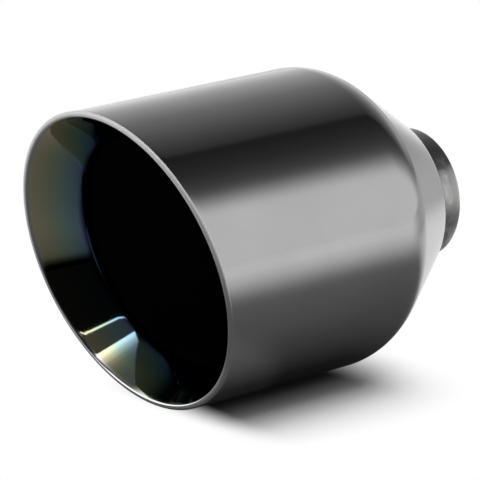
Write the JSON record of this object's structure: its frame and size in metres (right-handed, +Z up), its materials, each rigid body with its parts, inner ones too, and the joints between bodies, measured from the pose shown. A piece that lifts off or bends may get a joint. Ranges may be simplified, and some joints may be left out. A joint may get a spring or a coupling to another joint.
{
  "type": "exhaust tip",
  "caption": "Slant-cut, double-walled exhaust tip: spun black-chromed shell with a rolled rim and a tapered inner sleeve, drawn down to a short bare neck that slips over a tailpipe and is welded on.",
  "frame": {"origin": "centre of the inlet neck's open end, where the tailpipe enters", "axes": "+Y along the tip's axis towards the tailpipe, the gas leaves towards -Y; +Z up with the long side of the slanted mouth on top, as fitted on a car; +X to the right seen from behind the car"},
  "size_m": [0.1524, 0.2089, 0.1524],
  "materials": {
    "black_chrome": "dark tinted mirror polish",
    "black_chrome_inside": "dark mirror polish with a thin-film sheen from straw to violet",
    "bare_steel": "uncoated, brushed round the tube, slightly clouded",
    "weld_steel": "as welded, rippled bead with heat tint"
  },
  "bodies": {
    "root": {"outer_shell": "black_chrome", "inner_sleeve": "black_chrome_inside", "inlet_neck": "bare_steel", "neck_weld": "weld_steel"}
  },
  "joints": []
}
